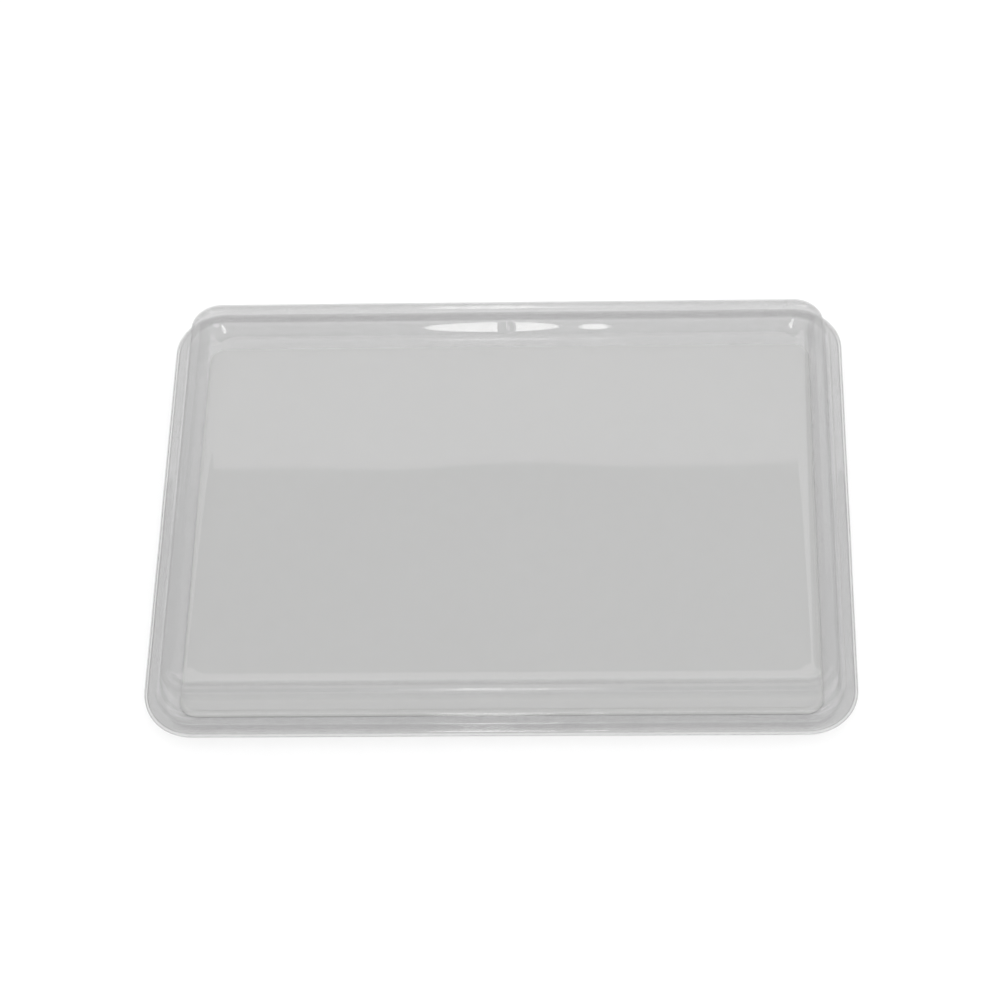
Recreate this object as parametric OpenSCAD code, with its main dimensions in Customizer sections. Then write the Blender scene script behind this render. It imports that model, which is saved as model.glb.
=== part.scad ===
// Wet palette: a shallow clear tray that holds a damp sponge and a sheet of
// palette paper, under a clear lift-off lid with a raised bead round its top.
// Origin at the middle of the underside of the tray, +Z up, +X along the width.

/* [Overall] */
// Width over the lid's rim
palette_w = 406; // [300:1:450]
// Depth over the lid's rim
palette_d = 305; // [240:1:340]
// Radius of the outer corners, seen from above
corner_r = 29.4; // [29.2:0.2:45]

/* [Tray] */
// Height of the tray, from the table to the top of its flange
tray_h = 12.8; // [10:0.2:24]
// Thickness of the tray's plastic
tray_t = 0.8; // [0.6:0.1:1.2]
// Depth of the turned-down lip round the tray's flange
tray_lip = 2; // [1.8:0.2:5]
// Inset of the well's rim from the outer edge
well_inset = 8; // [6:0.5:9]
// Inset of the well's floor from the outer edge
floor_inset = 11.4; // [10:0.2:14]

/* [Lid] */
// Height of the lid above the tray's flange
lid_h = 25.2; // [20:0.2:40]
// Thickness of the lid's plastic
lid_t = 0.7; // [0.5:0.1:1]
// Depth of the lip that wraps down over the tray's flange
lid_lip = 2.8; // [2.6:0.2:7]
// Inset of the foot of the lid's lower wall from the outer edge
foot_inset = 6.6; // [5:0.2:8]
// Height of the ledge part way up the lid's wall
ledge_z = 6; // [4:0.5:8]
// Width of the ledge
ledge_w = 2.4; // [1.5:0.1:3]
// Inset of the outer edge of the bead round the top
bead_inset = 12; // [11.4:0.2:14]
// Width of the bead's crest
bead_w = 5.2; // [4.8:0.2:6]
// Depth of the recessed panel below the bead
panel_drop = 8.6; // [6:0.2:10]
// Inset of the foot of the cove that runs down to the recessed panel
panel_inset = 24.2; // [23.6:0.2:24.6]
// Diameter of the moulded pip at the middle of the panel's back edge
pip_d = 9.6; // [6:0.2:11]
// Inset of the pip's centre from the outer edge
pip_inset = 26.2; // [25:0.2:32]

/* [Sponge and paper] */
// Gap between the sponge and the foot of the tray's wall
sponge_gap = 8; // [7.4:0.2:20]
// Thickness of the damp sponge
sponge_t = 4; // [2:0.5:6]
// Corner radius of the sponge
sponge_r = 10; // [6:1:20]
// Distance that the paper stays inside the sponge's edge
paper_margin = 2; // [0.5:0.5:6]
// Thickness of the palette paper
paper_t = 0.2; // [0.1:0.05:0.4]
// Corner radius of the paper
paper_r = 9; // [5:1:18]

/* [Hidden] */
// Segments in each small bend of a wall's profile
bend_steps = 4;
// Facets of a full circle
$fn = 96;
// Height of the pip above the panel
pip_h = 2;
// Clearance between the lid's lip and the edge of the tray's flange
lip_gap = 0.8;
// Width of flat sheet that joins each swept profile to its flat middle
tray_blend = 3;
lid_blend = 4.4;
flange_edge = lid_t + lip_gap;
floor_z = tray_t;
sponge_w = palette_w - 2 * (floor_inset + sponge_gap);
sponge_d = palette_d - 2 * (floor_inset + sponge_gap);
panel_z = lid_h - panel_drop;

// The tray's upper surface, as [inset, height] from the lip to the floor.
tray_path = [
    [flange_edge, tray_h - tray_lip],
    [flange_edge, tray_h],
    [well_inset, tray_h],
    [floor_inset, floor_z],
    [floor_inset + tray_blend, floor_z]
];
tray_bends = [0, 1.2, 1.2, 2, 0];

// The lid's upper surface, as [inset, height] above the tray's flange.
lid_path = [
    [0, -lid_lip],
    [0, lid_t],
    [foot_inset, lid_t],
    [foot_inset + 0.7, ledge_z],
    [foot_inset + 0.7 + ledge_w, ledge_z + 0.6],
    [bead_inset, lid_h],
    [bead_inset + bead_w, lid_h],
    [panel_inset, panel_z],
    [panel_inset + lid_blend, panel_z]
];
lid_bends = [0, 1.8, 1.2, 1, 1, 2.2, 2.2, 8, 0];

function unit(v) = v / norm(v);
function left_of(v) = [-v.y, v.x];

// The arc of radius r that rounds the corner b of the path a, b, c.
function bend(a, b, c, r) =
    let (
        u = unit(a - b),
        v = unit(c - b),
        half = acos(u * v) / 2,
        centre = b + unit(u + v) * r / sin(half),
        s = b + u * r / tan(half) - centre,
        e = b + v * r / tan(half) - centre,
        turn = sign(cross(s, e)) * (180 - 2 * half)
    )
    [for (k = [0:bend_steps])
        let (q = turn * k / bend_steps)
        centre + [s.x * cos(q) - s.y * sin(q), s.x * sin(q) + s.y * cos(q)]];

// A path with each inner corner rounded by its own radius.
function rounded(path, radii) =
    [for (i = [0:len(path) - 1])
        each radii[i] > 0 ? bend(path[i - 1], path[i], path[i + 1], radii[i]) : [path[i]]];

// The path shifted to its right by t, with mitred corners.
function shifted(path, t) =
    let (last = len(path) - 1)
    [for (i = [0:last])
        let (
            u = unit(path[max(i, 1)] - path[max(i, 1) - 1]),
            v = unit(path[min(i, last - 1) + 1] - path[min(i, last - 1)])
        )
        path[i] - (left_of(u) + left_of(v)) * t / (1 + u * v)];

// The closed outline of a sheet of thickness t whose upper surface is the path.
function sheet_outline(path, t) =
    let (under = shifted(path, t))
    concat(path, [for (i = [len(under) - 1:-1:0]) under[i]]);

// An outline in [inset, height], swept round the palette's rounded rectangle.
module swept_round(outline) {
    for (side = [[0, palette_w, palette_d], [90, palette_d, palette_w]], half_turn = [0, 180])
        rotate(side[0] + half_turn)
            rotate([90, 0, 0])
                linear_extrude(side[2] - 2 * corner_r, center = true)
                    polygon([for (q = outline) [side[1] / 2 - q.x, q.y]]);
    for (corner = [[1, 1, 0], [-1, 1, 90], [-1, -1, 180], [1, -1, 270]])
        translate([corner.x * (palette_w / 2 - corner_r), corner.y * (palette_d / 2 - corner_r), 0])
            rotate(corner.z)
                rotate_extrude(angle = 90)
                    polygon([for (q = outline) [corner_r - q.x, q.y]]);
}

// A flat plate with rounded corners, standing on height z.
module plate(w, d, r, z, t) {
    translate([0, 0, z])
        linear_extrude(t) {
            square([w, d - 2 * r], center = true);
            square([w - 2 * r, d], center = true);
            for (x = [-1, 1], y = [-1, 1])
                translate([x * (w / 2 - r), y * (d / 2 - r)])
                    circle(r);
        }
}

// The flat middle inside a swept profile that ends at an inset.
module flat_middle(inset, z, t) {
    plate(palette_w - 2 * inset, palette_d - 2 * inset, corner_r - inset, z, t);
}

module base_tray() {
    color("gainsboro", 0.6) {
        swept_round(sheet_outline(rounded(tray_path, tray_bends), tray_t));
        flat_middle(floor_inset + tray_blend, 0, tray_t);
    }
}

module reservoir_sponge() {
    color("lightgray")
        plate(sponge_w, sponge_d, sponge_r, floor_z, sponge_t);
}

module palette_paper() {
    color("whitesmoke")
        plate(sponge_w - 2 * paper_margin, sponge_d - 2 * paper_margin, paper_r,
            floor_z + sponge_t, paper_t);
}

module lid() {
    color("gainsboro", 0.5)
        translate([0, 0, tray_h]) {
            swept_round(sheet_outline(rounded(lid_path, lid_bends), lid_t));
            flat_middle(panel_inset + lid_blend, panel_z - lid_t, lid_t);
            translate([0, palette_d / 2 - pip_inset, panel_z - lid_t])
                cylinder(h = pip_h + lid_t, d = pip_d);
        }
}

base_tray();
reservoir_sponge();
palette_paper();
lid();
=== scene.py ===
"""Wet palette: a clear formed tray and lift-off lid, with a damp sponge and palette paper inside."""

import math

import bmesh
import bpy
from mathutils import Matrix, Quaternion, Vector, noise


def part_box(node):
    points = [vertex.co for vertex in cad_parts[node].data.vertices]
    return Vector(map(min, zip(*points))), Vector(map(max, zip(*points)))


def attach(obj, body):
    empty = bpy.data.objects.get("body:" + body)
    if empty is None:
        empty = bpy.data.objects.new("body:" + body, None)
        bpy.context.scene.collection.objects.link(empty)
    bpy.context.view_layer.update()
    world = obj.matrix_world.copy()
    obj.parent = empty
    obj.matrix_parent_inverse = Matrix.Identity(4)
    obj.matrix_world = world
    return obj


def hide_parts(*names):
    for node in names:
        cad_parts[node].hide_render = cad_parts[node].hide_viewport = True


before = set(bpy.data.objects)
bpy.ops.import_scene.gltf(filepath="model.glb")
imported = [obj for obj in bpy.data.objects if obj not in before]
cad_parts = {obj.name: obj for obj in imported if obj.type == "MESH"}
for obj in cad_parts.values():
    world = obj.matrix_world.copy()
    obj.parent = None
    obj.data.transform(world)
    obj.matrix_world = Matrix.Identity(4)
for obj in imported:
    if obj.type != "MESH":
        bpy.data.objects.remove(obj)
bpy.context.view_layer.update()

MM = 0.001
noise.seed_set(1)        # keeps noise_vector the same in every run

# ---- Sizes, in millimetres, worked out from the frame's boxes -------------------------------------
lid_low, lid_high = (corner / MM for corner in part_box("lid"))
tray_low, tray_high = (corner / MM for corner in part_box("base_tray"))
sponge_low, sponge_high = (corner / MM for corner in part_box("reservoir_sponge"))
paper_low, paper_high = (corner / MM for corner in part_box("palette_paper"))

WIDTH = lid_high.x - lid_low.x
DEPTH = lid_high.y - lid_low.y
CORNER_R = 29.4
LEAST_R = 8.0            # no ring of the mesh has a tighter corner
FLANGE_Z = tray_high.z
PANEL_Z = lid_high.z - 8.6       # upper face of the lid's recessed panel
LID_T = 0.7
TRAY_T = 0.8
TRAY_LIP = 2.0           # depth of the tray's turned-down lip
LIP_GAP = 0.8            # air between the lid's lip and the tray's
SEAT_GAP = 0.15          # air between the lid's flange and the tray's
PIP_INSET, PIP_R, PIP_H = 26.2, 4.8, 2.0

# ---- Clear plastic --------------------------------------------------------------------------------
HEAD_ON, GLANCING = 0.04, 0.5    # shares of light that it mirrors head on and edge on
SMOOTH = 0.02                    # roughness where nothing has touched it
PAINTED_CREST_SHADE = 0.22                # painted shade: share of light that the bead's crest scatters as grey haze, darkening it
CREST_WEAR = 0.3                 # most roughness there
RIM_SHADE_HEIGHTS = (FLANGE_Z + 1.5, FLANGE_Z + 5.0)       # painted shade: heights over which the rim's greyer haze fades into the sheet's own
CREST_SHADE_HEIGHTS = (lid_high.z - 8.0, lid_high.z - 1.0)    # painted shade: heights over which the crest's grey haze grows
WORN = (lid_high.z - 1.4, lid_high.z - 0.4)      # heights over which its roughness grows


# ---- Profiles: [inset from the outer edge, height, bend radius] -----------------------------------
def lid_profile():
    """The lid's upper surface, from the bottom of its lip to the recessed panel."""
    top = lid_high.z
    return [
        (0.0, lid_low.z, 0.0),
        (0.0, FLANGE_Z + LID_T, 1.4),
        (6.6, FLANGE_Z + LID_T, 0.5),
        (7.3, FLANGE_Z + 6.2, 0.7),
        (9.7, FLANGE_Z + 6.3, 0.5),
        (12.0, top - 0.5, 1.8),
        (14.6, top + 0.1, 3.2),
        (17.2, top - 0.5, 1.8),
        (25.4, PANEL_Z, 14.0),
        (33.0, PANEL_Z, 0.0),
    ]


def tray_profile():
    """The tray's upper surface, from the bottom of its lip to the floor."""
    edge = LID_T + LIP_GAP
    haze_with_rim_shade = FLANGE_Z - SEAT_GAP
    return [
        (edge, FLANGE_Z - TRAY_LIP, 0.0),
        (edge, haze_with_rim_shade, 1.2),
        (8.0, haze_with_rim_shade, 0.8),
        (11.4, TRAY_T, 2.0),
        (28.7, TRAY_T, 0.0),
    ]


def bend(a, b, c, radius, step=0.35):
    """Points of the arc that rounds the corner b of the path a, b, c."""
    u, v = (a - b).normalized(), (c - b).normalized()
    half = u.angle(v) / 2
    centre = b + (u + v).normalized() * radius / math.sin(half)
    start = b + u * radius / math.tan(half) - centre
    end = b + v * radius / math.tan(half) - centre
    sweep = math.pi - 2 * half
    turn = math.copysign(sweep, start.x * end.y - start.y * end.x)
    count = max(5, math.ceil(sweep * radius / step))
    points = []
    for k in range(count + 1):
        q = turn * k / count
        points.append(centre + Vector((start.x * math.cos(q) - start.y * math.sin(q),
                                       start.x * math.sin(q) + start.y * math.cos(q))))
    return points


def rounded(profile):
    """The profile as a fine path, its corners rounded and its straight stretches divided."""
    corners = [Vector(p[:2]) for p in profile]
    path = [corners[0]]
    for k in range(1, len(corners) - 1):
        path += bend(corners[k - 1], corners[k], corners[k + 1], profile[k][2])
    path.append(corners[-1])
    fine = [path[0]]
    for a, b in zip(path, path[1:]):
        pieces = max(1, math.ceil((b - a).length / 1.2))
        fine += [a.lerp(b, k / pieces) for k in range(1, pieces + 1)]
    return fine


def shifted(path, t):
    """The path moved t to its right, which is into the sheet."""
    out = []
    for k, p in enumerate(path):
        u = (path[max(k, 1)] - path[max(k, 1) - 1]).normalized()
        v = (path[min(k + 1, len(path) - 1)] - path[min(k, len(path) - 2)]).normalized()
        normal = Vector((u.y + v.y, -u.x - v.x))
        out.append(p + normal * t / (1 + u.dot(v)))
    return out


def lip_end(top, under):
    """A half-round end that joins the two surfaces at the bottom of the lip."""
    centre = (top + under) / 2
    r = (under - top).length / 2
    return [centre + Vector((math.cos(q) * r, -math.sin(q) * r))
            for q in (math.pi * k / 6 for k in range(1, 6))]


# ---- Perimeter of the rounded rectangle -----------------------------------------------------------
def stations(half, step, fine=None):
    """Positions from -half to half, a step apart, closer together inside the fine range."""
    marks = [-half]
    while marks[-1] < half - 1e-6:
        here = marks[-1]
        near = fine is not None and fine[0] <= here < fine[1]
        reach = fine[2] if near else step
        if fine is not None and here < fine[0] < here + reach:
            reach = fine[0] - here
        marks.append(min(half, here + reach))
    return marks


def straight_sides(inset):
    """Half lengths of the outline's straight sides at an inset, and the corner radius there."""
    r = max(CORNER_R - inset, LEAST_R)
    return WIDTH / 2 - inset - r, DEPTH / 2 - inset - r, r


def spread(marks, half):
    """Marks scaled to end at -half and half."""
    return [m * half / marks[-1] for m in marks]


def perimeter(inset, xs, ys, arc=14):
    """Points round the palette's outline at an inset, counter-clockwise from the front left."""
    hx, hy, r = straight_sides(inset)
    xs, ys = spread(xs, hx), spread(ys, hy)
    sides = [
        [Vector((x, -hy - r)) for x in xs],
        [Vector((hx + r, y)) for y in ys],
        [Vector((x, hy + r)) for x in reversed(xs)],
        [Vector((-hx - r, y)) for y in reversed(ys)],
    ]
    corners = [(hx, -hy, -90), (hx, hy, 0), (-hx, hy, 90), (-hx, -hy, 180)]
    points = []
    for side, (cx, cy, start) in zip(sides, corners):
        points += side
        for k in range(1, arc):
            q = math.radians(start + 90 * k / arc)
            points.append(Vector((cx + r * math.cos(q), cy + r * math.sin(q))))
    return points


# ---- The formed sheet's small irregularities ------------------------------------------------------
def wander(p, panel_z):
    """Displacement in millimetres of a point of the sheet: soft waves, stronger in the walls."""
    wall = min(1.0, abs(p.z - panel_z) / 4) ** 2
    sway = noise.noise_vector(Vector((p.x / 38, p.y / 38, p.z / 30))) * 0.12
    swell = noise.noise(Vector((p.x / 95 + 7.1, p.y / 80, 3.3))) * 0.08
    return sway * wall + Vector((0, 0, swell))


def pip_rise(p):
    """Height of the moulded pip, a low dome, over the sheet at a point."""
    away = math.hypot(p.x, p.y - (DEPTH / 2 - PIP_INSET)) / PIP_R
    return PIP_H * max(0.0, 1 - away * away)


def formed_shell(name, profile, thickness, panel_z, pip=False):
    """A thin formed shell: a profile swept round the palette, closed by a flat middle."""
    top = rounded(profile)
    under = shifted(top, thickness)
    outline = list(reversed(under)) + list(reversed(lip_end(top[0], under[0]))) + top
    hx, hy, _ = straight_sides(profile[-1][0])
    xs = stations(hx, 6.0, (-7.0, 7.0, 0.8) if pip else None)
    ys = stations(hy, 6.0, (hy - 6.0, hy, 0.8) if pip else None)
    bm = bmesh.new()

    def vertex(x, y, z):
        p = Vector((x, y, z))
        moved = p + wander(p, panel_z)
        if pip and z > panel_z - 2:
            moved.z += pip_rise(p)
        return bm.verts.new(moved * MM)

    rings = [[vertex(q.x, q.y, point.y) for q in perimeter(point.x, xs, ys)] for point in outline]
    for a, b in zip(rings, rings[1:]):
        for k in range(len(a)):
            j = (k + 1) % len(a)
            bm.faces.new((a[k], a[j], b[j], b[k]))
    for ring, z in ((rings[0], under[-1].y), (rings[-1], top[-1].y)):
        close_middle(bm, ring, xs, ys, lambda x, y: vertex(x, y, z))
    bmesh.ops.recalc_face_normals(bm, faces=bm.faces)
    return piece(name, bm)


def close_middle(bm, ring, xs, ys, vertex):
    """Fills the inside of a ring with a grid whose edges line up with the ring's straight sides."""
    arc = (len(ring) - 2 * len(xs) - 2 * len(ys)) // 4 + 1
    grid = [[vertex(x, y) for x in xs] for y in ys]
    edge = []
    border = [
        grid[0],
        [row[-1] for row in grid],
        list(reversed(grid[-1])),
        [row[0] for row in reversed(grid)],
    ]
    for side in border:
        edge += side + [side[-1]] * (arc - 1)
    for k in range(len(ring)):
        j = (k + 1) % len(ring)
        corners = [ring[k], ring[j]]
        corners += [edge[k]] if edge[j] is edge[k] else [edge[j], edge[k]]
        bm.faces.new(corners)
    for low, high in zip(grid, grid[1:]):
        for k in range(len(xs) - 1):
            bm.faces.new((low[k], low[k + 1], high[k + 1], high[k]))


def piece(name, bm):
    """A smooth-shaded object from a bmesh."""
    mesh = bpy.data.meshes.new(name)
    bm.to_mesh(mesh)
    bm.free()
    mesh.shade_smooth()
    obj = bpy.data.objects.new(name, mesh)
    bpy.context.scene.collection.objects.link(obj)
    return obj


# ---- Soft contents --------------------------------------------------------------------------------
def soft_slab(name, low, high, corner, edge_r, step, surface, under):
    """A thin slab with rounded upper edges, whose top and underside follow surface and under."""
    hx, hy = (high.x - low.x) / 2 - corner, (high.y - low.y) / 2 - corner
    xs, ys = stations(hx, step), stations(hy, step)
    thick = high.z - low.z
    bm = bmesh.new()
    arc = 10
    over = [(edge_r * (1 - math.cos(q)), low.z + thick * math.sin(q))
            for q in (math.pi / 2 * k / 6 for k in range(1, 7))]

    def ring(inset, z, top):
        points = []
        for (cx, cy, start), line in zip(
            ((hx, -hy, -90), (hx, hy, 0), (-hx, hy, 90), (-hx, -hy, 180)),
            ([(x, -1) for x in xs], [(1, y) for y in ys],
             [(x, 1) for x in reversed(xs)], [(-1, y) for y in reversed(ys)]),
        ):
            r = corner - inset
            along_x = start in (-90, 90)
            for a, b in line:
                points.append((a, b * (hy + r)) if along_x else (a * (hx + r), b))
            for k in range(1, arc):
                q = math.radians(start + 90 * k / arc)
                points.append((cx + r * math.cos(q), cy + r * math.sin(q)))
        follow = surface if top else under
        return [bm.verts.new(Vector((x, y, z + follow(x, y))) * MM) for x, y in points]

    middle = corner - 0.5
    outline = [(middle, low.z, False), (0.0, low.z, False)]
    outline += [(inset, z, True) for inset, z in over] + [(middle, high.z, True)]
    rings = [ring(*entry) for entry in outline]
    for a, b in zip(rings, rings[1:]):
        for k in range(len(a)):
            j = (k + 1) % len(a)
            bm.faces.new((a[k], a[j], b[j], b[k]))
    close_middle(bm, rings[0], xs, ys,
                 lambda x, y: bm.verts.new(Vector((x, y, low.z + under(x, y))) * MM))
    close_middle(bm, rings[-1], xs, ys,
                 lambda x, y: bm.verts.new(Vector((x, y, high.z + surface(x, y))) * MM))
    bmesh.ops.recalc_face_normals(bm, faces=bm.faces)
    return piece(name, bm)


# ---- Materials ------------------------------------------------------------------------------------
def new_material(name):
    mat = bpy.data.materials.new(name)
    mat.use_nodes = True
    mat.node_tree.nodes.clear()
    return mat, mat.node_tree.nodes, mat.node_tree.links


def node(nodes, kind, **values):
    made = nodes.new(kind)
    for key, value in values.items():
        if key in made.inputs:
            made.inputs[key].default_value = value
        else:
            setattr(made, key, value)
    return made


def metres(reach):
    return [z * MM for z in reach]


def noise_over(nodes, links, place, scale, detail):
    """Soft noise at a place."""
    made = node(nodes, "ShaderNodeTexNoise", Scale=scale, Detail=detail)
    links.new(place, made.inputs["Vector"])
    return made.outputs["Fac"]


def ramp(nodes, links, value, reach, low, high):
    """A value that goes from low to high while another crosses the range reach."""
    made = node(nodes, "ShaderNodeMapRange",
                **{"From Min": reach[0], "From Max": reach[1], "To Min": low, "To Max": high})
    links.new(value, made.inputs["Value"])
    return made.outputs["Result"]


def maths(nodes, links, operation, *values):
    """The result of a sum; each value is a number or another node's output."""
    made = node(nodes, "ShaderNodeMath", operation=operation)
    for socket, value in zip(made.inputs, values):
        if isinstance(value, bpy.types.NodeSocket):
            links.new(value, socket)
        else:
            socket.default_value = value
    return made.outputs[0]


def mixed(nodes, links, share, first, second):
    """Two shaders mixed, with the given share of the second."""
    made = node(nodes, "ShaderNodeMixShader")
    for socket, value in zip(made.inputs, (share, first, second)):
        links.new(value, socket)
    return made.outputs[0]


def clear_plastic(name, tint, haze, rim_haze_and_shade, grey, smear, shade):
    """Thin clear sheet, a little grey, that mirrors more at a glancing angle; its greyer rim and
    crest are painted shade.

    tint and shade are the light that it lets through, to the eye and to the things under it.
    haze is the share of light that it scatters, the rim's own share adds painted shade at the flange
    and lip where it is higher, and grey is the colour of all the scattered light.
    """
    mat, nodes, links = new_material(name)
    place = node(nodes, "ShaderNodeTexCoord").outputs["Object"]
    height = node(nodes, "ShaderNodeSeparateXYZ")
    links.new(place, height.inputs[0])
    height = height.outputs["Z"]
    cloud = noise_over(nodes, links, place, 9, 3)

    colour = node(nodes, "ShaderNodeMix", data_type="RGBA")
    colour.inputs[6].default_value = (*[tint * 0.985] * 3, 1)
    colour.inputs[7].default_value = (tint, tint, tint, 1)
    links.new(cloud, colour.inputs[0])
    through = node(nodes, "ShaderNodeBsdfTransparent")
    links.new(colour.outputs[2], through.inputs["Color"])
    milky_and_shade = node(nodes, "ShaderNodeBsdfDiffuse", Color=(grey, grey, grey, 1))
    # painted shade: the flange and lip scatter more grey than the rest, darkening them
    haze_with_rim_shade = ramp(nodes, links, height, metres(RIM_SHADE_HEIGHTS), rim_haze_and_shade, haze)
    # painted shade: grey haze that grows towards the top of the bead, darkening its crest
    crest_shade = ramp(nodes, links, height, metres(CREST_SHADE_HEIGHTS), 0.0, PAINTED_CREST_SHADE)
    sheet = mixed(nodes, links, maths(nodes, links, "ADD", haze_with_rim_shade, crest_shade),
                  through.outputs[0], milky_and_shade.outputs[0])

    gloss = node(nodes, "ShaderNodeBsdfAnisotropic")
    smeared = ramp(nodes, links, cloud, (0.35, 0.75), SMOOTH, smear)
    wear = ramp(nodes, links, height, metres(WORN), 0.0, CREST_WEAR)
    worn = maths(nodes, links, "MULTIPLY", wear, noise_over(nodes, links, place, 70, 2))
    links.new(maths(nodes, links, "MAXIMUM", smeared, worn), gloss.inputs["Roughness"])
    facing = node(nodes, "ShaderNodeLayerWeight", Blend=0.5).outputs["Facing"]
    steep = maths(nodes, links, "POWER", facing, 5)
    mirrored = maths(nodes, links, "MULTIPLY_ADD", steep, GLANCING - HEAD_ON, HEAD_ON)
    surface = mixed(nodes, links, mirrored, sheet, gloss.outputs[0])

    path = node(nodes, "ShaderNodeLightPath")
    for ray in ("Is Shadow Ray", "Is Diffuse Ray"):
        dimmed = node(nodes, "ShaderNodeBsdfTransparent", Color=(shade, shade, shade, 1))
        surface = mixed(nodes, links, path.outputs[ray], surface, dimmed.outputs[0])
    out = node(nodes, "ShaderNodeOutputMaterial")
    links.new(surface, out.inputs["Surface"])
    return mat


def matt_surface(name, low, high, scale, roughness, depth):
    """A matt surface with fine mottling between two colours, and bumps of a depth in metres."""
    mat, nodes, links = new_material(name)
    place = node(nodes, "ShaderNodeTexCoord").outputs["Object"]
    grain = noise_over(nodes, links, place, scale, 6)
    colour = node(nodes, "ShaderNodeMix", data_type="RGBA")
    colour.inputs[6].default_value = (*low, 1)
    colour.inputs[7].default_value = (*high, 1)
    bump = node(nodes, "ShaderNodeBump", Distance=depth, Strength=0.5)
    body = node(nodes, "ShaderNodeBsdfPrincipled", Roughness=roughness)
    out = node(nodes, "ShaderNodeOutputMaterial")
    links.new(grain, colour.inputs[0])
    links.new(grain, bump.inputs["Height"])
    links.new(colour.outputs[2], body.inputs["Base Color"])
    links.new(bump.outputs["Normal"], body.inputs["Normal"])
    links.new(body.outputs[0], out.inputs["Surface"])
    return mat


# ---- Stage ----------------------------------------------------------------------------------------
def area_light(name, at, facing, size, energy, shape="ELLIPSE"):
    """A soft light that isn't seen by the camera itself."""
    lamp = bpy.data.lights.new(name, "AREA")
    lamp.shape = shape
    lamp.size, lamp.size_y = size
    lamp.energy = energy
    obj = bpy.data.objects.new(name, lamp)
    obj.location = at
    obj.rotation_euler = facing.to_track_quat("-Z", "Y").to_euler()
    obj.visible_camera = False
    bpy.context.scene.collection.objects.link(obj)
    return obj


def make_stage():
    """Pale floor, soft light and the pale surround."""
    bm = bmesh.new()
    bmesh.ops.create_grid(bm, x_segments=8, y_segments=8, size=6.0)
    floor = piece("floor", bm)
    floor.location.z = -0.0003
    floor.data.materials.append(
        matt_surface("floor_paint", (0.80, 0.80, 0.80), (0.82, 0.82, 0.82), 3.0, 0.9, 0.0))
    world = bpy.data.worlds.new("surround")
    bpy.context.scene.world = world
    world.use_nodes = True
    background = world.node_tree.nodes["Background"]
    background.inputs["Color"].default_value = (1, 1, 1, 1)
    background.inputs["Strength"].default_value = 0.965
    key_lights()


def key_lights():
    """Two long strips overhead, a bright wall behind, and soft fills on the right and in front."""
    down = Vector((0, 0, -1))
    area_light("strip_wide", (-0.082, 0.0, 1.6), down, (0.146, 1.4), 2.6)
    area_light("strip_narrow", (0.0285, 0.06, 1.6), down, (0.030, 0.8), 0.32)
    area_light("fill_right", (0.9, -0.4, 2.2), down, (1.2, 1.2), 5.0)
    area_light("far_wall", (0, 2.5, 1.692), Vector((0, -1, 0)), (5.0, 3.384), 46, "RECTANGLE")
    area_light("front_fill", (0, -3.0, 0.95), Vector((0, 1, 0)), (5.0, 1.9), 44, "RECTANGLE")


def make_camera():
    """The view from the front, 54 degrees up and a little to the right of the palette's middle."""
    elevation, azimuth, roll = math.radians(54.08), math.radians(-4.31), math.radians(-3.94)
    distance = 2.006
    ahead = Vector((math.sin(azimuth) * math.cos(elevation),
                    math.cos(azimuth) * math.cos(elevation), -math.sin(elevation)))
    turned = ahead.to_track_quat("-Z", "Y") @ Quaternion((0, 0, 1), roll)
    aim = Vector((0, 0, FLANGE_Z * MM)) + turned @ Vector((-0.0022, 0.0078, 0))
    data = bpy.data.cameras.new("camera")
    data.sensor_width = 36
    data.lens = 122.6
    cam = bpy.data.objects.new("camera", data)
    cam.location = aim - ahead * distance
    cam.rotation_euler = turned.to_euler()
    bpy.context.scene.collection.objects.link(cam)
    bpy.context.scene.camera = cam
    bpy.context.scene.view_settings.view_transform = "Standard"
    bpy.context.scene.cycles.transparent_max_bounces = 32
    bpy.context.scene.cycles.glossy_bounces = 12


def dress(obj, material, body, node_name):
    obj.data.materials.append(material)
    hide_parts(node_name)
    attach(obj, body)


def damp(x, y):
    """Unevenness of the damp sponge's upper face."""
    return 0.12 * noise.noise(Vector((x / 30, y / 30, 9.0))) - 0.12


def cockle(x, y):
    """Waves of the paper, which follows the sponge and lifts off it a little."""
    return damp(x, y) + 0.04 + 0.03 * noise.noise(Vector((x / 55, y / 40, 2.0)))


def on_floor(x, y):
    """Unevenness of the sponge's underside, which lies on the tray's floor."""
    return wander(Vector((x, y, TRAY_T)), TRAY_T).z


def build():
    make_camera()
    make_stage()
    # the lid's rim share of grey haze, 0.20 against its own 0.04, is painted shade
    dress(formed_shell("lid_shell", lid_profile(), LID_T, PANEL_Z, pip=True),
          clear_plastic("clear_lid_plastic", tint=0.985, haze=0.04, rim_haze_and_shade=0.20, grey=0.32,
                        smear=0.03, shade=0.95),
          "lid", "lid")
    dress(formed_shell("tray_shell", tray_profile(), TRAY_T, TRAY_T),
          clear_plastic("clear_tray_plastic", tint=0.965, haze=0.40, rim_haze_and_shade=0.40, grey=0.455,
                        smear=0.06, shade=0.94),
          "base_tray", "base_tray")

    clearance = Vector((0, 0, 0.03))
    sponge = soft_slab("sponge_sheet", sponge_low + clearance, sponge_high, 10.0, 2.8, 5.0,
                       surface=damp, under=on_floor)
    dress(sponge,
          matt_surface("damp_sponge", (0.46, 0.46, 0.455), (0.50, 0.50, 0.495),
                       scale=900, roughness=0.8, depth=0.0006),
          "reservoir_sponge", "reservoir_sponge")
    paper = soft_slab("paper_sheet", paper_low, paper_high, 9.0, 0.06, 5.0,
                      surface=cockle, under=cockle)
    dress(paper,
          matt_surface("palette_paper", (0.425, 0.425, 0.422), (0.445, 0.445, 0.442),
                       scale=160, roughness=0.7, depth=0.00003),
          "palette_paper", "palette_paper")


build()
